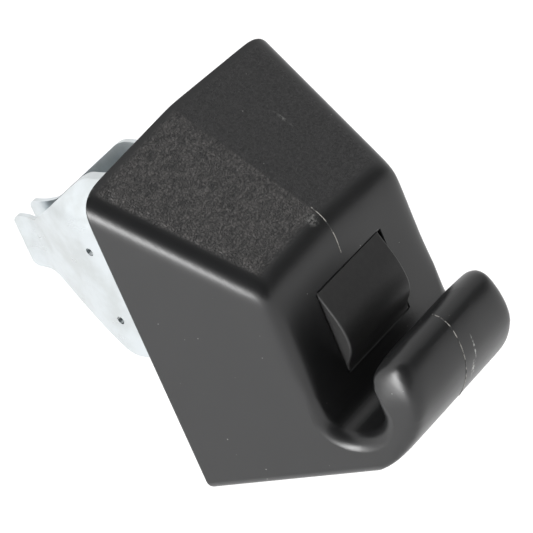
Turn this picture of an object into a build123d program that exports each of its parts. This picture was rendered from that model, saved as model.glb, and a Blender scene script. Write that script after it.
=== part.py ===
from build123d import *
import math
import os

os.makedirs("parts", exist_ok=True)

# Roof hook for a swing-out sun visor.
# X points out of the roof towards the hook, Y runs along the visor rod, and Z runs
# up the mounting rim towards the wedge's sloping end. X = 0 is the mounting plane,
# Y = 0 the mould's parting plane and Z = 0 the height of the spring clip's centre.

# ---- housing: outer wedge, all in millimetres ----
rim_length = 46.0            # mounting rim along Z, at the side faces
rim_width = 38.4             # mounting rim along Y
clip_above_foot = 22.1       # clip centre above the foot of the rim
front_x = 19.5               # front face above the mounting plane
side_taper = 14.8            # each side leans in by this many degrees towards the hook
top_slope = 39.1             # sloping face, measured down from the X axis
foot_rise = 3.9              # the foot rises this many degrees towards the hook
mould_draft = 2.0            # draft either side of the parting plane
wall = 2.2

edge_round = 2.2             # all edges between the side faces and the rest
brow_round = 3.6             # sloping face to the front face

# ---- hook and rod groove ----
rod_radius = 3.5
rod_clearance = 0.1
groove_radius = rod_radius + rod_clearance
groove_height = 10.9          # groove axis above the foot
hook_thickness = 6.9         # groove wall to the knuckle of the hook's outer face
knuckle_height = 13.2        # widest point of the hook above the foot
hook_top = 19.2              # outer corner of the tip above the foot
tip_rise = 2.6               # the tip's top rises by this much towards the outside
tip_lean = 17.0              # outer face above the knuckle leans back, degrees
heel_lean = 18.5             # outer face below the knuckle leans in, degrees
heel_round = 9.0
knuckle_round = 8.0
tip_outer_round = 2.8
tip_inner_round = 3.0

# ---- detent tongue in its window ----
window_width = 13.6
window_top = 24.8            # above the foot
window_bottom = 12.7         # above the foot
tongue_gap = 0.2
hinge_gap = 0.03             # above the tongue, where its edge only swings away
tongue_edge = 0.3            # rounding along both sides of the hump
heel_relief = 0.5            # cut off the tongue's upper rear edge, so it clears the wall
relief_width = 0.35          # slit beside the hinge end, on one side
relief_length = 2.6
tongue_proud = 2.0           # hump above the front face
tongue_wall = 1.4
pivot_radius = 0.9
pivot_clearance = 0.06
pivot_length = 1.5           # each trunnion beyond the tongue's side
pivot_setback = 1.9          # pivot axis behind the front face
pivot_drop = 1.6             # pivot axis below the window's top edge
ear_wall = 1.1
lip_depth = 1.4              # stop lip below the window's lower edge
lip_thickness = 1.2
stop_clearance = 0.08

# ---- leaf spring behind the tongue ----
leaf = 0.4
leaf_width = 5.0
leaf_contact = 18.0          # where the leaf meets the tongue, above the foot
leaf_gap = 0.2
leaf_bend = 1.0
leaf_curl = 50.0             # the leaf's toe turns back by this many degrees off level
leaf_toe = 2.4
peg_radius = 1.0
peg_head_radius = 1.7
peg_head = 0.7
peg_clearance = 0.05
peg_height = 6.5             # above the window's lower edge
tab_margin = 1.2             # leaf above the peg's head
bend_drop = 1.8              # the leaf's bend below the window's lower edge

# ---- steel spring clip ----
sheet = 0.7
clip_spacing = 7.0           # outside of one clip arm to the outside of the other
clip_height = 16.0           # arms in the socket, along Z
socket_depth = 9.0
socket_clearance = 0.1
socket_wall = 1.6
rib = 1.4
rib_setback = 1.5            # ribs stop short of the mounting plane
barb_height = 0.4
barb_length = 1.6
barb_width = 3.0
leg_pivot = 1.0              # the legs flex about a line this far outside the plane
leg_slit = 0.1
leg_reach = 37.0             # tip of the legs outside the mounting plane
shoulder_reach = 18.5        # widest spread of the legs
shoulder_spread = 13.0       # outside to outside at the widest spread
tip_spread = 4.2             # outside to outside at the tips
blade_top = 13.6             # widest part of each leg, above and below the clip's centre
blade_bottom = 12.2
blade_neck = 2.0             # the legs leave their neck this far outside the flex line
blade_full = 7.5             # and reach their full width here
blade_rounds = (3.0, 5.0, 3.0, 1.2)  # corners from the neck to the tip
tip_half_width = 4.1
tip_length = 5.0             # straight-sided end of each leg
tip_flare = 0.2              # the end is this much wider at its root
tip_lift = 1.4               # the tips sit this much above the clip's centre
punch_radius = 0.6           # two punched holes in each leg
punch_reach = 19.0           # outside the mounting plane
punch_heights = (4.7, -6.4)  # about the clip's centre
curl_start = 8.2             # the left leg's upper flank curls inwards above this height
curl_radius = 5.0
curl_angle = 62.0


def tan_deg(angle):
    return math.tan(math.radians(angle))


foot_z = -clip_above_foot
crown = tan_deg(mould_draft) * rim_width / 2


def height(above_foot):
    """Z of a height above the foot of the rim."""
    return foot_z + above_foot


def foot_at(x, inset=0.0):
    """Z of the foot."""
    return foot_z + inset / math.cos(math.radians(foot_rise)) + tan_deg(foot_rise) * x


def ridge_at(x, inset=0.0):
    """Z of the sloping face on the parting plane, where the mould's draft leaves a ridge."""
    cos_slope = math.cos(math.radians(top_slope))
    return foot_z + rim_length + (crown - inset) / cos_slope - tan_deg(top_slope) * x


def side_at(x, inset=0.0):
    """Half width between the side faces."""
    return rim_width / 2 - inset / math.cos(math.radians(side_taper)) - tan_deg(side_taper) * x


def profile(points):
    """Face in the XZ plane."""
    return make_face(Plane.XZ * Polyline(*points, close=True)).face()


def across(face, width):
    """Prism of a side-view face, centred on the parting plane."""
    return extrude(face, amount=width / 2, both=True)


def side_wedge(reach, inset=0.0):
    """Everything between the two side faces."""
    tall = rim_length * 3
    ends = [(-2, -side_at(-2, inset)), (reach, -side_at(reach, inset)),
            (reach, side_at(reach, inset)), (-2, side_at(-2, inset))]
    plan = make_face(Polyline(*ends, close=True))
    return extrude(Pos(0, 0, -tall / 2) * plan, amount=tall)


def cylinder_y(x, z, radius, width):
    return Pos(x, 0, z) * Rot(90, 0, 0) * Cylinder(radius, width)


groove_z = height(groove_height)
groove_x = front_x + groove_radius
hook_wall_x = groove_x + groove_radius
knuckle_x = hook_wall_x + hook_thickness
pivot_z = height(window_top) - pivot_drop
pivot_x = front_x - pivot_setback
leg_pivot_y = (clip_spacing - sheet) / 2


def box_between(low, high):
    size = [b - a for a, b in zip(low, high)]
    centre = [(a + b) / 2 for a, b in zip(low, high)]
    return Pos(*centre) * Box(*size)


def under_slope(inset=0.0):
    """Everything under the two halves of the sloping face, which fall away from the ridge."""
    back = -2.0
    nose = knuckle_x + 2
    low = foot_z - 5
    half = rim_width
    fall = tan_deg(mould_draft) * half / math.cos(math.radians(top_slope))
    sections = []
    for x in (back, nose):
        top = ridge_at(x, inset)
        outline = Polyline((x, -half, low), (x, half, low), (x, half, top - fall),
                           (x, 0, top), (x, -half, top - fall), close=True)
        sections.append(make_face(outline))
    return loft(sections, ruled=True)


def cavity():
    """Hollow of the wedge, open at the mounting plane."""
    back = -2.0
    high = ridge_at(back)
    face = front_x - wall
    side_view = profile([(back, foot_at(back, wall)), (face, foot_at(face, wall)),
                         (face, high), (back, high)])
    return across(side_view, rim_width * 2) & under_slope(wall) & side_wedge(face, wall)


def rounded(face, corners):
    """Round chosen corners of a side view; corners is a list of ((x, z), radius)."""
    for (x, z), radius in corners:
        corner = face.vertices().sort_by_distance((x, 0, z))[0]
        face = face.fillet_2d(radius, [corner])
    return face


def outline():
    """Side view of the wedge and the hook in one, with its rounded corners."""
    back = -2.0
    high = ridge_at(back)
    heel_z = foot_at(knuckle_x)
    heel_x = knuckle_x - tan_deg(heel_lean) * (height(knuckle_height) - heel_z)
    heel = (heel_x, foot_at(heel_x))
    knuckle = (knuckle_x, height(knuckle_height))
    tip = (knuckle_x - tan_deg(tip_lean) * (hook_top - knuckle_height), height(hook_top))
    crest = (hook_wall_x, height(hook_top - tip_rise))
    outside = Polyline((front_x, high), (back, high), (back, foot_at(back)), heel, knuckle,
                       tip, crest, (hook_wall_x, groove_z))
    groove = ThreePointArc((hook_wall_x, groove_z), (groove_x, groove_z - groove_radius),
                           (front_x, groove_z))
    front = Line((front_x, groove_z), (front_x, high))
    side_view = make_face(Plane.XZ * (outside + groove + front)).face()
    return rounded(side_view, [(heel, heel_round), (knuckle, knuckle_round),
                               (tip, tip_outer_round), (crest, tip_inner_round)])


def on_side(edge):
    """True for an edge of a side face, apart from its edge on the mounting plane."""
    spots = [edge @ 0, edge @ 0.5, edge @ 1]
    flush = all(abs(abs(p.Y) - side_at(p.X)) < 0.01 for p in spots)
    return flush and max(p.X for p in spots) > 0.01


def shell():
    """Wedge and hook with their rounded edges, still solid."""
    block = across(outline(), rim_width * 2) & under_slope() & side_wedge(knuckle_x + 2)
    brow_z = ridge_at(front_x)
    brow = [e for e in block.edges() if abs((e @ 0.5).X - front_x) < 0.01
            and abs((e @ 0.5).Z - brow_z) < 1 and abs((e @ 0).Y - (e @ 1).Y) > 5]
    block = fillet(brow, brow_round)
    block = fillet([e for e in block.edges() if on_side(e)], edge_round)
    tall = rim_length * 2
    return block & box_between((0, -tall, -tall), (tall, tall, tall))


def window():
    """Opening in the front face for the tongue, with bores for its trunnions."""
    half = window_width / 2
    top = height(window_top)
    opening = box_between((front_x - wall - 1, -half, height(window_bottom)),
                          (front_x + 1, half, top))
    opening += box_between((front_x - wall - 1, half - 1, top - relief_length),
                           (front_x + 1, half + relief_width, top))
    span = window_width - 2 * tongue_gap + 2 * pivot_length + ear_wall
    return opening + cylinder_y(pivot_x, pivot_z, pivot_radius + pivot_clearance, span)


def ears():
    """Bosses inside the front wall that carry the trunnions."""
    bosses = []
    inner = window_width / 2
    outer = inner + pivot_length + ear_wall
    back = pivot_x - pivot_radius - pivot_clearance - ear_wall
    half = pivot_radius + pivot_clearance + ear_wall
    for side in (-1, 1):
        near, far = sorted((side * inner, side * outer))
        bosses.append(box_between((back, near, pivot_z - half),
                                  (front_x - wall / 2, far, pivot_z + half)))
    return bosses


socket_y = clip_spacing / 2 + socket_clearance
socket_z = clip_height / 2 + socket_clearance
socket_end = socket_depth + socket_wall


def socket_tube():
    """Rectangular socket for the clip, its end wall, and ribs out to the shell."""
    outer_y = socket_y + socket_wall
    outer_z = socket_z + socket_wall
    tall = rim_length * 2
    tube = box_between((rib_setback / 2, -outer_y, -outer_z), (socket_end, outer_y, outer_z))
    upright = box_between((rib_setback, -rib / 2, -tall), (socket_end, rib / 2, tall))
    level = box_between((rib_setback, -tall, -rib / 2), (socket_end, tall, rib / 2))
    return tube + upright + level


def socket_hollow():
    """Space for the clip's arms, with windows in the socket's walls for the barbs."""
    space = box_between((-1, -socket_y, -socket_z), (socket_depth, socket_y, socket_z))
    barb_x = socket_depth / 2
    catch = barb_length / 2 + socket_clearance * 2
    reach = socket_y + socket_wall + 1
    half = barb_width / 2 + socket_clearance * 2
    return space + box_between((barb_x - catch, -reach, -half), (barb_x + catch, reach, half))


leaf_x = socket_end + leaf / 2
peg_z = height(window_bottom + peg_height)


def peg():
    """Peg on the socket's end wall that the leaf spring is staked on."""
    stem = Pos(socket_end, 0, peg_z) * Rot(0, 90, 0) * Cylinder(peg_radius, leaf * 4)
    head_x = socket_end + leaf + peg_clearance + peg_head / 2
    head = Pos(head_x, 0, peg_z) * Rot(0, 90, 0) * Cylinder(peg_head_radius, peg_head)
    return stem + head


def make_housing():
    hollow = cavity()
    body = shell() - hollow
    inner = socket_tube()
    for boss in ears():
        inner += boss
    reach = cavity_reach()
    body += inner & reach
    body -= socket_hollow()
    body -= window()
    return body + peg()


def cavity_reach():
    """Cavity grown halfway into the walls, so that ribs and bosses join the shell."""
    inset = wall / 2
    face = front_x - inset
    side_view = profile([(0, foot_at(0, inset)), (face, foot_at(face, inset)),
                         (face, ridge_at(0)), (0, ridge_at(0))])
    return across(side_view, rim_width * 2) & under_slope(inset) & side_wedge(face, inset)


def hump(inset=0.0):
    """Points of the tongue's outer face from top to bottom, in (x, z)."""
    top = height(window_top) - hinge_gap
    bottom = height(window_bottom) + tongue_gap
    length = top - bottom
    shares = ((0.0, 0.0), (0.14, 0.32), (0.31, 0.72), (0.48, 0.96), (0.62, 1.0),
              (0.75, 0.80), (0.87, 0.34), (0.95, 0.07), (1.0, 0.0))
    return [(front_x + tongue_proud * rise - inset, top - length * share) for share, rise in shares]


def along_hump(edge, half):
    """True for the two edges where the hump meets the tongue's side faces."""
    middle = edge @ 0.5
    return abs(abs(middle.Y) - half) < 0.001 and middle.X > front_x + tongue_proud / 2


def make_tongue():
    """Hollow flap with a rounded hump, two trunnions and a stop lip at its lower edge."""
    half = window_width / 2 - tongue_gap
    points = hump()
    top, bottom = points[0], points[-1]
    back_x = pivot_x - pivot_radius
    skin = Spline(*points)
    rest = Polyline(bottom, (back_x, bottom[1]), (back_x, top[1] - heel_relief),
                    (pivot_x, top[1]), top)
    block = across(make_face(Plane.XZ * (skin + rest)).face(), 2 * half)
    block = fillet([e for e in block.edges() if along_hump(e, half)], tongue_edge)
    lip_x = front_x - wall - stop_clearance
    lip_low = height(window_bottom) - lip_depth
    block += box_between((lip_x - lip_thickness, -half, lip_low),
                         (lip_x, half, bottom[1] + lip_thickness))
    inner = hump(tongue_wall)
    hollow_top = pivot_z - pivot_radius - tongue_gap
    hollow_bottom = bottom[1] + lip_thickness
    kept = [p for p in inner if hollow_bottom < p[1] < hollow_top]
    behind = lip_x - lip_thickness - 1
    pocket = profile([(behind, hollow_bottom), (kept[-1][0], hollow_bottom), *reversed(kept),
                      (kept[0][0], hollow_top), (behind, hollow_top)])
    block -= across(pocket, 2 * (half - tongue_wall))
    return block + cylinder_y(pivot_x, pivot_z, pivot_radius, 2 * (half + pivot_length))


def make_tongue_spring():
    """Bent leaf, staked on the socket's end wall and bearing on the tongue from behind."""
    tab_top = peg_z + peg_head_radius + tab_margin
    touch_x = front_x + tongue_proud - tongue_wall - leaf_gap - leaf / 2
    touch_z = height(leaf_contact)
    corner = (leaf_x, height(window_bottom - bend_drop))
    rise = math.atan2(touch_z - corner[1], touch_x - corner[0])
    curl = math.radians(leaf_curl)
    blunt = leaf_bend * (1 / math.cos((math.pi - curl - rise) / 2) - 1)
    end = (touch_x + blunt - leaf_toe * math.cos(curl), touch_z + leaf_toe * math.sin(curl))
    path = FilletPolyline((leaf_x, tab_top), corner, (touch_x + blunt, touch_z), end,
                          radius=leaf_bend)
    strip = thicken(Plane.XZ * path, leaf, leaf_width)
    hole = Pos(leaf_x, 0, peg_z) * Rot(0, 90, 0) * Cylinder(peg_radius + peg_clearance, leaf * 4)
    return strip - hole


def thicken(path, thickness, width):
    """Strip of sheet whose middle line is a path in the XZ plane."""
    start = path @ 0
    ahead = path % 0
    section = Plane(origin=start, x_dir=(0, 1, 0), z_dir=ahead) * Rectangle(width, thickness)
    return sweep(section, path=path, transition=Transition.RIGHT)


def sheet_strip(path, tall):
    """Upright sheet whose middle line is a path in plan, centred on the clip's height."""
    start = path @ 0
    section = Plane(origin=start, x_dir=(0, 0, 1), z_dir=path % 0) * Rectangle(tall, sheet)
    return sweep(section, path=path, transition=Transition.RIGHT)


def make_clip_base():
    """Folded end of the clip: two arms, the web that joins them, and their barbs."""
    mid_y = leg_pivot_y
    web_x = socket_depth - socket_clearance - sheet / 2
    end_x = -leg_pivot + sheet / 2 + leg_slit
    path = FilletPolyline((end_x, -mid_y), (web_x, -mid_y), (web_x, mid_y), (end_x, mid_y),
                          radius=sheet * 1.5)
    base = sheet_strip(path, clip_height)
    low_x = socket_depth / 2 - barb_length / 2
    for side in (-1, 1):
        face_y = side * clip_spacing / 2
        ramp = Polyline((low_x, face_y - side * 0.1), (low_x, face_y + side * barb_height),
                        (low_x + barb_length, face_y - side * 0.1), close=True)
        base += extrude(Pos(0, 0, -barb_width / 2) * make_face(ramp), amount=barb_width)
    return base


def blade_outline():
    """Side view of a leg: neck, wide blade, flanks in to a narrow tip."""
    neck = clip_height / 2
    pivot = -leg_pivot
    tip_root = tip_length - leg_reach
    root_half = tip_half_width + tip_flare
    points = []
    corners = []
    for sign, blade in ((1, blade_top), (-1, blade_bottom)):
        full = (pivot - blade_full, sign * blade)
        shoulder = (-shoulder_reach - 1, sign * blade)
        root = (tip_root, tip_lift + sign * root_half)
        end = (-leg_reach, tip_lift + sign * tip_half_width)
        flank = [(pivot + sheet, sign * neck), (pivot - blade_neck, sign * neck)]
        flank += [full, shoulder, root, end]
        points += flank if sign > 0 else flank[::-1]
        corners += list(zip((full, shoulder, root, end), blade_rounds))
    return rounded(profile(points), corners)


def leg_section(curled):
    """Section of a leg's sheet, upright from below the blade, with its top curled or not."""
    low = -blade_bottom - 2
    if not curled:
        return trace(Line((low, 0), (blade_top + 2, 0)), sheet)
    stem = Line((low, 0), (curl_start, 0))
    curl = JernArc((curl_start, 0), (1, 0), curl_radius, -curl_angle)
    return trace(stem + curl + Line(curl @ 1, curl @ 1 + (curl % 1) * blade_top), sheet)


def make_leg(side):
    """One sprung leg: out from the neck to the shoulder, then in to the tip."""
    half = sheet / 2
    shoulder_y = shoulder_spread / 2 - half
    path = Spline((-leg_pivot, leg_pivot_y), (-leg_pivot - 3, leg_pivot_y + 0.1),
                  (-shoulder_reach + 5, shoulder_y - 0.5), (-shoulder_reach, shoulder_y),
                  (-shoulder_reach - 5, shoulder_y - 0.9),
                  (-leg_reach + 4, tip_spread / 2 - half + 0.35),
                  (-leg_reach, tip_spread / 2 - half), tangents=((-1, 0), (-1, 0.05)))
    plane = Plane(origin=path @ 0, x_dir=(0, 0, 1), z_dir=path % 0)
    section = (plane * leg_section(side < 0)).face()
    strip = sweep(section, path=path, transition=Transition.RIGHT)
    leg = strip & across(blade_outline(), rim_width)
    leg += Pos(-leg_pivot, leg_pivot_y, 0) * Cylinder(half, clip_height)
    for z in punch_heights:
        leg -= cylinder_y(-punch_reach, z, punch_radius, rim_width)
    return leg if side > 0 else mirror(leg, about=Plane.XZ)


nodes = {
    "housing": make_housing(),
    "detent_tongue": make_tongue(),
    "tongue_spring": make_tongue_spring(),
    "spring_clip_base": make_clip_base(),
    "spring_clip_leg_left": make_leg(-1),
    "spring_clip_leg_right": make_leg(1),
}

for name, solid in nodes.items():
    export_step(solid, f"parts/{name}.step")
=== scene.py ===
import math
import bpy
from mathutils import Matrix, Vector


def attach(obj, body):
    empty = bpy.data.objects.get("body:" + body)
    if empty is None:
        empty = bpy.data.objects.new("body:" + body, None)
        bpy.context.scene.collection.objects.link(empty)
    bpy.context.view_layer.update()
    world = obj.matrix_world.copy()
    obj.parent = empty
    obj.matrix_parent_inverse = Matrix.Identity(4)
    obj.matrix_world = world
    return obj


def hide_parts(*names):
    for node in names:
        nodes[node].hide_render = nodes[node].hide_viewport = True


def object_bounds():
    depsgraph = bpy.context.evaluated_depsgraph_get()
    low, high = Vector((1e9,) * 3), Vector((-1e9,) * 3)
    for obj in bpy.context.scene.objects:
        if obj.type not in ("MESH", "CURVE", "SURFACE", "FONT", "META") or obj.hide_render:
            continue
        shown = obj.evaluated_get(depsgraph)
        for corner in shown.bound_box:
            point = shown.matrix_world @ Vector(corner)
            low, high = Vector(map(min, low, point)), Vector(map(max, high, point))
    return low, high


# Roof hook for a swing-out sun visor: a satin black wedge with a grained slope,
# a sprung tongue in its front, and a zinc-plated spring clip behind.
# Metres, +X towards the hook, +Z up the rim, Y = 0 on the mould's parting plane.
# The dictionaries give lengths in mm and angles in degrees.

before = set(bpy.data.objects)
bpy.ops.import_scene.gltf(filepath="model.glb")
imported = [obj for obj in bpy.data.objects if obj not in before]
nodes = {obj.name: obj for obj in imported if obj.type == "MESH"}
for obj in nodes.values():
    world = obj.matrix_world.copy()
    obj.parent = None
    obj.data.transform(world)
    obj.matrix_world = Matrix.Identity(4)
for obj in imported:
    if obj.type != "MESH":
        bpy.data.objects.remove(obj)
cadLow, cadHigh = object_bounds()
mm = 0.001
print("frame loaded:", len(nodes), "nodes")


def tangent(degrees):
    return math.tan(math.radians(degrees))


def share(value, low, high):
    # 0 at low, 1 at high, and straight between them
    return min(1.0, max(0.0, (value - low) / (high - low)))


class Shade:
    # one material with short ways to add and join its nodes
    def __init__(self, name):
        self.material = bpy.data.materials.new(name)
        self.material.use_nodes = True
        self.tree = self.material.node_tree
        self.shader = self.tree.nodes["Principled BSDF"]
        self.place = self.add("TexCoord").outputs["Object"]

    def add(self, kind):
        return self.tree.nodes.new("ShaderNode" + kind)

    def put(self, socket, value):
        if isinstance(value, (int, float, tuple)):
            socket.default_value = value
        else:
            self.tree.links.new(value, socket)

    def give(self, name, value):
        self.put(self.shader.inputs[name], value)

    def math(self, kind, first, second=0.0):
        node = self.add("Math")
        node.operation = kind
        for socket, value in zip(node.inputs, (first, second)):
            self.put(socket, value)
        return node.outputs[0]

    def times(self, first, second):
        return self.math("MULTIPLY", first, second)

    def axes(self):
        node = self.add("SeparateXYZ")
        self.put(node.inputs[0], self.place)
        return node.outputs[0], node.outputs[1], node.outputs[2]

    def ramp(self, value, low, high, toLow=0.0, toHigh=1.0):
        node = self.add("MapRange")
        node.interpolation_type = "SMOOTHSTEP"
        for socket, item in zip(node.inputs, (value, low, high, toLow, toHigh)):
            self.put(socket, item)
        return node.outputs[0]

    def fade(self, value, limits):
        # from 0 at the first limit to 1 at the second, both in mm
        return self.ramp(value, limits[0] * mm, limits[1] * mm)

    def noise(self, scale, detail=2.0, rough=0.5, stretch=None, distort=0.0):
        node = self.add("TexNoise")
        node.inputs["Scale"].default_value = scale
        node.inputs["Detail"].default_value = detail
        node.inputs["Roughness"].default_value = rough
        node.inputs["Distortion"].default_value = distort
        source = self.place
        if stretch:
            mapping = self.add("Mapping")
            mapping.inputs["Scale"].default_value = stretch
            self.put(mapping.inputs["Vector"], source)
            source = mapping.outputs[0]
        self.put(node.inputs["Vector"], source)
        return node.outputs["Fac"]

    def patches(self, pattern, spread):
        # a slow drift either side of zero, for roughness
        return self.times(self.math("SUBTRACT", self.noise(*pattern), 0.5), spread)

    def cells(self, scale, feature="DISTANCE_TO_EDGE"):
        node = self.add("TexVoronoi")
        node.feature = feature
        node.inputs["Scale"].default_value = scale
        self.put(node.inputs["Vector"], self.place)
        return node.outputs["Distance"]

    def blend(self, amount, first, second):
        node = self.add("Mix")
        node.data_type = "RGBA"
        self.put(node.inputs["Factor"], amount)
        self.put(node.inputs["A"], first)
        self.put(node.inputs["B"], second)
        return node.outputs["Result"]

    def bump(self, height, strength, distance, after=None):
        # distance in mm
        node = self.add("Bump")
        self.put(node.inputs["Strength"], strength)
        node.inputs["Distance"].default_value = distance * mm
        self.put(node.inputs["Height"], height)
        if after is not None:
            self.put(node.inputs["Normal"], after)
        return node.outputs[0]


# The wedge as its CAD solid has it.
wedge = {
    "rimLength": 46.0,
    "footZ": -22.1,
    "footRise": 3.9,
    "slope": 39.1,
    "draft": 2.0,
    "taper": 14.8,
    "halfWidth": 19.2,        # at the mounting plane
    "frontX": 19.5,
    "ridgeZ": 24.76,          # the slope's ridge at the mounting plane
}

plastic = {
    "black": (0.0105, 0.0107, 0.0112, 1),
    "wornAndSheen": (0.132, 0.124, 0.12, 1),       # crests of the near half's grain: wear, plus a painted sheen that lightens the near half
    "rubbed": (0.042, 0.041, 0.042, 1),    # crests of the far half's grain
    "dust": (0.5, 0.5, 0.48, 1),
    "smoothRough": 0.33,
    "grainRough": 0.5,
    "ior": 1.53,
    # where the slope's grain starts and where it is full
    "grainUnderRidge": (1.6, 0.9),
    "grainFromSides": (1.9, 2.6),
    "grainFromBrow": (18.2, 17.0),
    "grainFromRim": (0.3, 1.1),
    "nearHalf": (0.25, -0.25),
    # scale, detail and roughness of each noise
    "worms": (2000, 3, 0.55),
    "fineGrain": (2600, 3, 0.6),
    "skinGrain": (9000, 2, 0.5),
    "waves": (90, 1, 0.4),
    "patches": (220, 3, 0.6),
    "patchSpread": 0.08,
    "wormStretch": (1.0, 0.55, 1.0),
    "wormTwist": 1.2,
    "fineTwist": 0.8,
    "wormShare": 0.8,
    "pitScale": 2200,
    "pitShare": 0.45,
    "fineShare": 0.45,
    "wornAndSheenBand": (0.24, 0.8),
    "rubbedBand": (0.35, 0.75),
    "grainDepth": 0.6,
    "skinBump": (0.14, 0.02),     # strength, depth
    "waveBump": (0.2, 0.05),
    "speckScale": 620,
    "speckSize": (0.06, 0.03),
    "speckLots": (170, 1),
    "speckBand": (0.5, 0.62),
    "speckStrength": 0.6,
    # centre, half lengths along X, Y and Z, strength
    "scuffs": [
        ((32.9, 2.0, -10.2), (2.2, 0.2, 2.4), 0.9),
        ((32.2, 1.5, -13.4), (2.4, 0.55, 1.9), 0.85),
        ((17.6, -1.4, 9.9), (1.6, 1.2, 1.2), 0.35),
        ((9.0, 9.0, 17.5), (2.5, 0.35, 2.0), 0.25),
    ],
    "scuffEdge": (1.0, 0.3),
    "scuffBreaks": (2600, 3, 0.7),
    "scuffBand": (0.42, 0.62),
}


def scuffMark(shade, centre, reach, strength):
    # a rubbed patch that fades out and is broken up by fine noise
    mapping = shade.add("Mapping")
    mapping.vector_type = "TEXTURE"
    mapping.inputs["Location"].default_value = [value * mm for value in centre]
    mapping.inputs["Scale"].default_value = [value * mm for value in reach]
    shade.put(mapping.inputs["Vector"], shade.place)
    length = shade.add("VectorMath")
    length.operation = "LENGTH"
    shade.put(length.inputs[0], mapping.outputs[0])
    inside = shade.ramp(length.outputs["Value"], *plastic["scuffEdge"])
    broken = shade.ramp(shade.noise(*plastic["scuffBreaks"]), *plastic["scuffBand"])
    return shade.times(shade.times(inside, broken), strength)


def slopeGrain(shade):
    # 1 on the sloping face's grained field, 0 elsewhere
    x, y, z = shade.axes()
    slope = math.radians(wedge["slope"])
    rise = shade.math("ADD", shade.times(x, math.sin(slope)), shade.times(z, math.cos(slope)))
    top = wedge["ridgeZ"] * mm * math.cos(slope)
    start, full = plastic["grainUnderRidge"]
    onSlope = shade.ramp(rise, top - start * mm, top - full * mm)
    edge = shade.math("SUBTRACT", wedge["halfWidth"] * mm, shade.times(x, tangent(wedge["taper"])))
    inside = shade.fade(shade.math("SUBTRACT", edge, shade.math("ABSOLUTE", y)),
                        plastic["grainFromSides"])
    alongSlope = shade.times(shade.fade(x, plastic["grainFromBrow"]),
                             shade.fade(x, plastic["grainFromRim"]))
    grain = shade.times(shade.times(onSlope, inside), alongSlope)
    return grain, shade.fade(y, plastic["nearHalf"])


def housingPlastic():
    shade = Shade("housing_plastic")
    grain, near = slopeGrain(shade)
    far = shade.math("SUBTRACT", 1.0, near)
    # spark grain: coarse worms on the near half, finer on the far half
    worms = shade.noise(*plastic["worms"], plastic["wormStretch"], plastic["wormTwist"])
    coarse = shade.math("ADD", shade.times(worms, plastic["wormShare"]),
                        shade.times(shade.cells(plastic["pitScale"]), plastic["pitShare"]))
    fine = shade.noise(*plastic["fineGrain"], distort=plastic["fineTwist"])
    depth = shade.math("ADD", shade.times(coarse, near),
                       shade.times(shade.times(fine, far), plastic["fineShare"]))
    rough = shade.bump(depth, grain, plastic["grainDepth"])
    rough = shade.bump(shade.noise(*plastic["skinGrain"]), *plastic["skinBump"], rough)
    # long, soft waviness of a moulded wall
    rough = shade.bump(shade.noise(*plastic["waves"]), *plastic["waveBump"], rough)
    shade.give("Normal", rough)
    # dust specks and rubbed patches
    specks = shade.ramp(shade.cells(plastic["speckScale"], "F1"), *plastic["speckSize"])
    lots = shade.ramp(shade.noise(*plastic["speckLots"]), *plastic["speckBand"])
    marks = shade.times(shade.times(specks, lots), plastic["speckStrength"])
    for scuff in plastic["scuffs"]:
        marks = shade.math("MAXIMUM", marks, scuffMark(shade, *scuff))
    # the near half's grain crests are painted lighter: partly wear, partly painted sheen and
    # glints
    crest = shade.times(shade.ramp(coarse, *plastic["wornAndSheenBand"]), shade.times(grain, near))
    tone = shade.blend(crest, plastic["black"], plastic["wornAndSheen"])
    crest = shade.times(shade.ramp(fine, *plastic["rubbedBand"]), shade.times(grain, far))
    tone = shade.blend(crest, tone, plastic["rubbed"])
    shade.give("Base Color", shade.blend(marks, tone, plastic["dust"]))
    base = shade.ramp(grain, 0.0, 1.0, plastic["smoothRough"], plastic["grainRough"])
    patchy = shade.patches(plastic["patches"], plastic["patchSpread"])
    shade.give("Roughness", shade.math("ADD", base, patchy))
    shade.give("IOR", plastic["ior"])
    return shade.material


tongue = {
    "black": (0.016, 0.016, 0.0165, 1),
    "grey": (0.032, 0.0315, 0.031, 1),
    "cloud": (1500, 3, 0.6),
    "patches": (300, 3, 0.6),
    "patchSpread": 0.1,
    "rough": 0.46,
    "grain": (5200, 2, 0.5),
    "grainBump": (0.3, 0.03),
    "ior": 1.5,
}


def tonguePlastic():
    shade = Shade("tongue_plastic")
    cloud = shade.noise(*tongue["cloud"])
    shade.give("Base Color", shade.blend(cloud, tongue["black"], tongue["grey"]))
    patchy = shade.patches(tongue["patches"], tongue["patchSpread"])
    shade.give("Roughness", shade.math("ADD", patchy, tongue["rough"]))
    shade.give("Normal", shade.bump(shade.noise(*tongue["grain"]), *tongue["grainBump"]))
    shade.give("IOR", tongue["ior"])
    return shade.material


zinc = {
    "bright": (0.66, 0.70, 0.72, 1),
    "dull": (0.57, 0.60, 0.605, 1),
    "stain": (0.36, 0.33, 0.28, 1),
    "cloud": (190, 4, 0.6),
    "cloudBand": (0.35, 0.7),
    "smudge": (420, 5, 0.7, (1.0, 1.0, 0.5)),    # the last is its stretch
    "smudgeBand": (0.66, 0.8),
    "smudgeStrength": 0.5,
    "rolled": (700, 3, 0.6, (0.12, 1.0, 1.0)),
    "rolledBump": (0.12, 0.02),
    "rough": 0.22,
    "roughSpread": 0.16,
}


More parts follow.
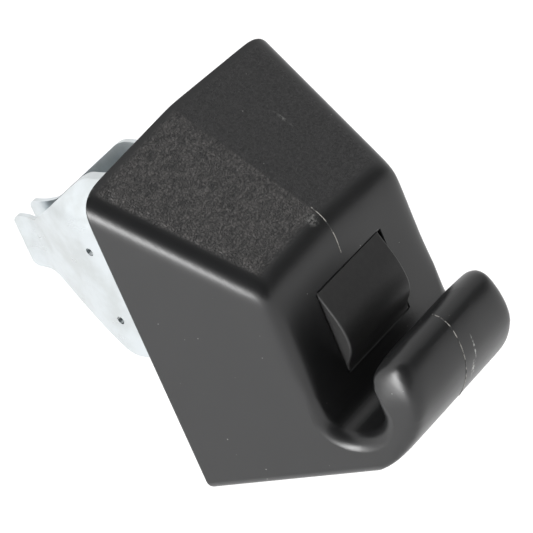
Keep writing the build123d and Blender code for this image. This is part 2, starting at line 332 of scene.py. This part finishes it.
def zincSteel():
    shade = Shade("clip_steel")
    shade.give("Metallic", 1.0)
    cloud = shade.ramp(shade.noise(*zinc["cloud"]), *zinc["cloudBand"])
    tone = shade.blend(cloud, zinc["bright"], zinc["dull"])
    smudge = shade.ramp(shade.noise(*zinc["smudge"]), *zinc["smudgeBand"])
    tone = shade.blend(shade.times(smudge, zinc["smudgeStrength"]), tone, zinc["stain"])
    shade.give("Base Color", tone)
    rolled = shade.noise(*zinc["rolled"])
    shade.give("Roughness", shade.math("ADD", shade.times(rolled, zinc["roughSpread"]),
                                       zinc["rough"]))
    shade.give("Normal", shade.bump(rolled, *zinc["rolledBump"]))
    return shade.material


leaf = {
    "dark": (0.4, 0.4, 0.42, 1),
    "bright": (0.52, 0.52, 0.54, 1),
    "rolled": (900, 2, 0.5, (1.0, 1.0, 0.1)),
    "rough": 0.25,
    "roughSpread": 0.15,
}


def springSteel():
    shade = Shade("leaf_steel")
    shade.give("Metallic", 1.0)
    rolled = shade.noise(*leaf["rolled"])
    shade.give("Base Color", shade.blend(rolled, leaf["dark"], leaf["bright"]))
    shade.give("Roughness", shade.math("ADD", shade.times(rolled, leaf["roughSpread"]),
                                       leaf["rough"]))
    return shade.material


# Housing skin: the wedge and hook as moulded, with soft edges.
skin = {
    "inset": 0.04,            # under the CAD surface, so the cut keeps this skin
    "wedgeBack": (-8, -30, -30),
    "wedgeTop": (30, 60),     # Y and Z that the wedge's block starts with
    "hookBlock": ((10, -30, -30), (40, 30, 2)),
    "grooveX": 23.1,
    "grooveZ": -11.2,
    "grooveR": 3.6,
    "grooveSides": 96,
    "knuckle": (33.6, -8.9),
    "tip": (31.77, -2.9),
    "crest": (26.7, -5.5),
    "heelRise": 1.9,          # the heel's corner above the foot's rear end
    "heelRound": 8.8,
    "knuckleRound": 2.5,
    "tipRound": 2.6,
    "domeZ": -9.0,            # above this the hook's two ends lean in
    "domeLean": (15.0, 6.0),  # near end, far end
    "farDraft": 1.6,          # the far half of the slope falls away faster
    "heelLean": 18.5,
    "tipLean": 17.0,
    "voxel": 0.35,
    "slopeWidth": 3.3,        # how far the roundings reach into their faces
    "browWidth": 1.7,
    "evenPasses": 8,          # smoothing all over
    "softPasses": 300,        # smoothing by weight
    "crease": 32,             # edges sharper than this stay hard
}

# What share of the softening passes each place takes.
soft = {
    "wedge": 0.06,
    "endReach": (4.0, 7.0),        # in from the two side faces
    "hookFrom": 0.8,               # past the front face
    "headFrom": (2.5, -12.5),      # past the groove's centre, and height
    "head": 0.09,
    "headEnds": 0.5,
    "headRise": (-13.0, -7.0),
    "heel": 0.06,
    "heelEnds": 0.2,
    "heelReach": (27.0, 29.0),
    "faceRise": (-10.5, -3.5),
    "face": 0.16,
    "faceEdges": 0.36,
    "faceReach": (12.5, 15.5),
    "faceTop": (5.0, 8.0),
}


def deselect():
    if bpy.context.object and bpy.context.object.mode != "OBJECT":
        bpy.ops.object.mode_set(mode="OBJECT")
    bpy.ops.object.select_all(action="DESELECT")


def makeActive(piece):
    deselect()
    piece.select_set(True)
    bpy.context.view_layer.objects.active = piece


def addBlock(name, low, high):
    deselect()
    middle = [(a + b) / 2 * mm for a, b in zip(low, high)]
    bpy.ops.mesh.primitive_cube_add(size=1, location=middle)
    block = bpy.context.object
    block.name = name
    block.scale = [(b - a) * mm for a, b in zip(low, high)]
    bpy.ops.object.transform_apply(location=True, rotation=True, scale=True)
    return block


def planeCut(block, point, normal):
    # keeps what lies behind the plane
    makeActive(block)
    bpy.ops.object.mode_set(mode="EDIT")
    bpy.ops.mesh.select_all(action="SELECT")
    direction = Vector(normal).normalized()
    onPlane = Vector(point) * mm - direction * skin["inset"] * mm
    bpy.ops.mesh.bisect(plane_co=onPlane, plane_no=direction, use_fill=True, clear_outer=True)
    bpy.ops.object.mode_set(mode="OBJECT")


def combine(body, tool, operation):
    makeActive(body)
    step = body.modifiers.new("combine", "BOOLEAN")
    step.operation = operation
    step.solver = "EXACT"
    step.object = tool
    bpy.ops.object.modifier_apply(modifier=step.name)
    bpy.data.objects.remove(tool, do_unlink=True)


def roundCorner(block, spot, reach):
    # rounds the edges across the block that pass through a spot of its side view
    found = 0.3 * mm
    makeActive(block)
    bpy.ops.object.mode_set(mode="EDIT")
    bpy.ops.mesh.select_all(action="DESELECT")
    bpy.ops.object.mode_set(mode="OBJECT")
    for edge in block.data.edges:
        ends = [block.data.vertices[v].co for v in edge.vertices]
        edge.select = all(math.hypot(p.x - spot[0] * mm, p.z - spot[1] * mm) < found
                          for p in ends)
    bpy.ops.object.mode_set(mode="EDIT")
    bpy.ops.mesh.select_mode(type="EDGE")
    bpy.ops.mesh.bevel(offset=reach * mm, segments=10, profile=0.5)
    bpy.ops.object.mode_set(mode="OBJECT")


def shapeSides(block):
    for side in (-1, 1):
        planeCut(block, (0, side * wedge["halfWidth"], 0), (tangent(wedge["taper"]), side, 0))
    planeCut(block, (0, 0, wedge["footZ"]), (tangent(wedge["footRise"]), 0, -1))


def roundWedge(block):
    # weights its upper edges by kind, then bevels them to different widths
    frontX = (wedge["frontX"] - skin["inset"]) * mm
    long, wide, close = 10 * mm, 5 * mm, 0.01 * mm
    weights = block.data.attributes.new("bevel_weight_edge", "FLOAT", "EDGE")
    for edge in block.data.edges:
        start, end = (block.data.vertices[v].co for v in edge.vertices)
        run = end - start
        atFront = abs(start.x - frontX) < close and abs(end.x - frontX) < close
        high = max(start.z, end.z) > 0
        if atFront and high and abs(run.z) < long:
            weights.data[edge.index].value = skin["browWidth"] / skin["slopeWidth"]
        elif high and abs(run.x) > long and abs(start.y) > wide:
            weights.data[edge.index].value = 1.0
    makeActive(block)
    bevel = block.modifiers.new("edges", "BEVEL")
    bevel.limit_method = "WEIGHT"
    bevel.offset_type = "OFFSET"
    bevel.width = skin["slopeWidth"] * mm
    bevel.segments = 12
    bpy.ops.object.modifier_apply(modifier=bevel.name)


def addWedge():
    body = addBlock("wedge", skin["wedgeBack"],
                    (wedge["frontX"] - skin["inset"], *skin["wedgeTop"]))
    shapeSides(body)
    leanY = tangent(wedge["draft"]) / math.cos(math.radians(wedge["slope"]))
    ridgeZ = wedge["footZ"] + wedge["rimLength"] + leanY * wedge["halfWidth"]
    for side, fall in ((-1, leanY), (1, leanY * skin["farDraft"])):
        planeCut(body, (0, 0, ridgeZ), (tangent(wedge["slope"]), side * fall, 1))
    roundWedge(body)
    return body


def addHook():
    hook = addBlock("hook", *skin["hookBlock"])
    shapeSides(hook)
    knuckleX, knuckleZ = skin["knuckle"]
    crestX, crestZ = skin["crest"]
    tipX, tipZ = skin["tip"]
    planeCut(hook, (knuckleX, 0, knuckleZ), (1, 0, -tangent(skin["heelLean"])))
    planeCut(hook, (knuckleX, 0, knuckleZ), (1, 0, tangent(skin["tipLean"])))
    planeCut(hook, (tipX, 0, tipZ), (crestZ - tipZ, 0, tipX - crestX))
    heelZ = wedge["footZ"] + skin["heelRise"]
    heelX = knuckleX - tangent(skin["heelLean"]) * (knuckleZ - heelZ)
    roundCorner(hook, (heelX, heelZ), skin["heelRound"])
    roundCorner(hook, (knuckleX, knuckleZ), skin["knuckleRound"])
    roundCorner(hook, (tipX, tipZ), skin["tipRound"])
    endY = wedge["halfWidth"] - tangent(wedge["taper"]) * knuckleX
    for side, lean in zip((-1, 1), skin["domeLean"]):
        planeCut(hook, (knuckleX, side * endY, skin["domeZ"]),
                 (tangent(wedge["taper"]), side, tangent(lean)))
    return hook


def softness(x, y, z):
    # most at the corners that start sharp
    inward = wedge["halfWidth"] - tangent(wedge["taper"]) * x - abs(y)
    atEnd = 1 - share(inward, *soft["endReach"])
    if x > wedge["frontX"] + soft["hookFrom"]:
        pastGroove, overZ = soft["headFrom"]
        if z > overZ and x > skin["grooveX"] + pastGroove:
            return soft["head"] + soft["headEnds"] * atEnd * share(z, *soft["headRise"])
        return soft["heel"] + soft["heelEnds"] * atEnd * share(x, *soft["heelReach"])
    above = share(z, *soft["faceRise"])
    frontEdge = share(x, *soft["faceReach"]) * atEnd * (1 - share(z, *soft["faceTop"]))
    return soft["wedge"] + above * (soft["face"] + soft["faceEdges"] * frontEdge)


def softenSkin(body):
    makeActive(body)
    even = body.modifiers.new("even mesh", "REMESH")
    even.mode = "VOXEL"
    even.voxel_size = skin["voxel"] * mm
    bpy.ops.object.modifier_apply(modifier=even.name)
    group = body.vertex_groups.new(name="soft")
    for vertex in body.data.vertices:
        x, y, z = (value / mm for value in vertex.co)
        group.add([vertex.index], softness(x, y, z), "REPLACE")
    for passes, weights in ((skin["softPasses"], "soft"), (skin["evenPasses"], "")):
        smooth = body.modifiers.new("soften", "SMOOTH")
        smooth.factor = 0.5
        smooth.iterations = passes
        smooth.vertex_group = weights
        bpy.ops.object.modifier_apply(modifier=smooth.name)
    body.vertex_groups.clear()


def copyOfHousing():
    # the CAD housing gives the window, hollow, ribs and socket
    inner = nodes["housing"].copy()
    inner.data = nodes["housing"].data.copy()
    inner.parent = None
    bpy.context.scene.collection.objects.link(inner)
    makeActive(inner)
    bpy.ops.object.mode_set(mode="EDIT")
    bpy.ops.mesh.select_all(action="SELECT")
    bpy.ops.mesh.remove_doubles(threshold=0.001 * mm)
    bpy.ops.object.mode_set(mode="OBJECT")
    for tag in list(inner.keys()):
        del inner[tag]
    return inner


def makeHousingSkin():
    body = addWedge()
    combine(body, addHook(), "UNION")
    inset = skin["inset"]
    beyond = 40    # well past the sides and the top
    throat = addBlock("throat", (wedge["frontX"] - inset, -beyond, skin["grooveZ"]),
                      (skin["crest"][0] + inset, beyond, beyond))
    combine(body, throat, "DIFFERENCE")
    deselect()
    bpy.ops.mesh.primitive_cylinder_add(
        vertices=skin["grooveSides"], radius=(skin["grooveR"] + inset) * mm,
        depth=2 * beyond * mm, location=(skin["grooveX"] * mm, 0, skin["grooveZ"] * mm),
        rotation=(math.pi / 2, 0, 0))
    combine(body, bpy.context.object, "DIFFERENCE")
    softenSkin(body)
    print("housing skin softened:", len(body.data.polygons), "faces")
    combine(body, copyOfHousing(), "INTERSECT")
    makeActive(body)
    body.data.materials.clear()
    bpy.ops.object.shade_smooth_by_angle(angle=math.radians(skin["crease"]))
    body.name = "housing_skin"
    return body


# Parting line: thin broken flash left by the mould.
flash = {
    "width": 0.075,
    "brow": [(17.6, 0.1, 11.5), (19.2, -0.1, 8.6), (19.6, -0.2, 6.4), (19.6, -0.35, 4.4)],
    "hook": [(30.2, 0.1, -2.6), (32.4, 0.0, -4.4), (33.4, -0.1, -7.5), (33.3, -0.2, -11.0),
             (32.0, -0.1, -15.5), (30.6, 0.1, -18.6)],
    "steps": 14,
    "pale": (0.3, 0.29, 0.27, 1),
    "breaks": (900, 3, 0.7),
    "breakBand": (0.42, 0.6),
    "rough": 0.4,
}


def addFlash(name, stops, target):
    # a fine wire laid along the skin between the stops, then sunk halfway into it
    deselect()
    bpy.ops.curve.primitive_bezier_curve_add()
    wire = bpy.context.object
    wire.name = name
    spline = wire.data.splines[0]
    spline.bezier_points.add(len(stops) - 2)
    for point, stop in zip(spline.bezier_points, stops):
        point.co = Vector(stop) * mm
        point.handle_left_type = point.handle_right_type = "AUTO"
    wire.data.resolution_u = flash["steps"]
    makeActive(wire)
    bpy.ops.object.convert(target="MESH")
    wire = bpy.context.object
    wrap = wire.modifiers.new("lie on skin", "SHRINKWRAP")
    wrap.target = target
    bpy.ops.object.modifier_apply(modifier=wrap.name)
    bpy.ops.object.convert(target="CURVE")
    wire = bpy.context.object
    wire.data.bevel_depth = flash["width"] * mm
    wire.data.bevel_resolution = 2
    wire.data.use_fill_caps = True
    bpy.ops.object.convert(target="MESH")
    wire = bpy.context.object
    bpy.ops.object.shade_smooth()
    return wire


def flashPlastic():
    # whitish where the flash stands proud, black where it is worn away
    shade = Shade("flash_plastic")
    proud = shade.ramp(shade.noise(*flash["breaks"]), *flash["breakBand"])
    shade.give("Base Color", shade.blend(proud, plastic["black"], flash["pale"]))
    shade.give("Roughness", flash["rough"])
    return shade.material


housingMaterial = housingPlastic()
zincMaterial = zincSteel()
finishes = {
    "housing": housingMaterial,
    "detent_tongue": tonguePlastic(),
    "tongue_spring": springSteel(),
    "spring_clip_base": zincMaterial,
    "spring_clip_leg_left": zincMaterial,
    "spring_clip_leg_right": zincMaterial,
}
for name, finish in finishes.items():
    for holder in nodes[name].material_slots:
        holder.material = finish
print("materials made")

housingSkin = makeHousingSkin()
housingSkin.data.materials.append(housingMaterial)
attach(housingSkin, "housing_body")
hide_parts("housing")
print("housing skin made:", len(housingSkin.data.polygons), "faces")

flashMaterial = flashPlastic()
for place in ("brow", "hook"):
    line = addFlash("parting_line_" + place, flash[place], housingSkin)
    line.data.materials.clear()
    line.data.materials.append(flashMaterial)
    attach(line, "housing_body")
print("parting line laid")

# Studio: white floor, white surround that is dark behind the camera, one soft box.
# Its lengths are in metres.
studio = {
    "floorSize": 6,
    "floorDrop": 0.06,
    "floorTone": (0.93, 0.93, 0.93, 1),
    "floorRough": 0.9,
    "glow": 0.22,
    "brightSide": (-0.55, -0.75, 0.35),
    "brightBand": (-0.9, 0.9),
    "dimmest": 0.6,
    "brightest": 1.35,
    "cameraCone": (52, 30),      # where the dark behind the camera starts and is full
    "cameraDark": 0.02,
    "dimSide": (0.79, 0.56, 0.30),
    "dimCone": (34, 12),
    "dimDark": 0.3,
    "boxPlace": (0.02, -0.9, 0.10),    # aimed at the wedge
    "boxSize": (0.24, 0.5),
    "boxPower": 9.0,
}
viewpoint = {
    "place": (0.3150, -0.2593, 0.2279),
    "right": (0.7378, 0.5806, -0.3441),
    "up": (-0.0924, 0.5920, 0.8006),
    "lens": 248.07,
    "sensor": 36,
    "clip": (0.01, 20),
}


def addFloor():
    deselect()
    bpy.ops.mesh.primitive_plane_add(size=studio["floorSize"],
                                     location=(0, 0, cadLow.z - studio["floorDrop"]))
    floor = bpy.context.object
    floor.name = "floor"
    shade = Shade("floor_paper")
    shade.give("Base Color", studio["floorTone"])
    shade.give("Roughness", studio["floorRough"])
    shade.give("Emission Color", (1, 1, 1, 1))
    shade.give("Emission Strength", studio["glow"])
    floor.data.materials.append(shade.material)


def addSurround():
    # white all round, brighter on the near side, dark where the camera stands
    world = bpy.data.worlds.new("surround")
    bpy.context.scene.world = world
    world.use_nodes = True
    tree = world.node_tree
    coord = tree.nodes.new("ShaderNodeTexCoord")

    def spread(towards, low, high, fromLow, fromHigh):
        dot = tree.nodes.new("ShaderNodeVectorMath")
        dot.operation = "DOT_PRODUCT"
        tree.links.new(coord.outputs["Generated"], dot.inputs[0])
        dot.inputs[1].default_value = Vector(towards).normalized()
        reach = tree.nodes.new("ShaderNodeMapRange")
        reach.interpolation_type = "SMOOTHSTEP"
        tree.links.new(dot.outputs["Value"], reach.inputs["Value"])
        for name, value in (("From Min", low), ("From Max", high),
                            ("To Min", fromLow), ("To Max", fromHigh)):
            reach.inputs[name].default_value = value
        return reach.outputs[0]

    def cone(towards, angles, dark):
        start, full = (math.cos(math.radians(angle)) for angle in angles)
        return spread(towards, start, full, 1.0, dark)

    strength = spread(studio["brightSide"], *studio["brightBand"],
                      studio["dimmest"], studio["brightest"])
    for factor in (cone(viewpoint["place"], studio["cameraCone"], studio["cameraDark"]),
                   cone(studio["dimSide"], studio["dimCone"], studio["dimDark"])):
        both = tree.nodes.new("ShaderNodeMath")
        both.operation = "MULTIPLY"
        tree.links.new(strength, both.inputs[0])
        tree.links.new(factor, both.inputs[1])
        strength = both.outputs[0]
    tree.links.new(strength, tree.nodes["Background"].inputs["Strength"])
    tree.nodes["Background"].inputs["Color"].default_value = (1, 1, 1, 1)


def addSoftBox():
    light = bpy.data.lights.new("soft_box", "AREA")
    light.shape = "RECTANGLE"
    light.size, light.size_y = studio["boxSize"]
    light.energy = studio["boxPower"]
    lamp = bpy.data.objects.new("soft_box", light)
    lamp.location = studio["boxPlace"]
    lamp.rotation_mode = "QUATERNION"
    lamp.rotation_quaternion = (-Vector(studio["boxPlace"])).to_track_quat("-Z", "Y")
    bpy.context.scene.collection.objects.link(lamp)


def addCamera():
    right = Vector(viewpoint["right"]).normalized()
    up = Vector(viewpoint["up"])
    up = (up - right * up.dot(right)).normalized()
    turn = Matrix((right, up, right.cross(up))).transposed()
    data = bpy.data.cameras.new("camera")
    data.lens = viewpoint["lens"]
    data.sensor_width = viewpoint["sensor"]
    data.clip_start, data.clip_end = viewpoint["clip"]
    camera = bpy.data.objects.new("camera", data)
    bpy.context.scene.collection.objects.link(camera)
    camera.matrix_world = Matrix.Translation(viewpoint["place"]) @ turn.to_4x4()
    bpy.context.scene.camera = camera


addFloor()
addSurround()
addSoftBox()
addCamera()
bpy.context.scene.view_settings.view_transform = "Standard"
print("studio set")
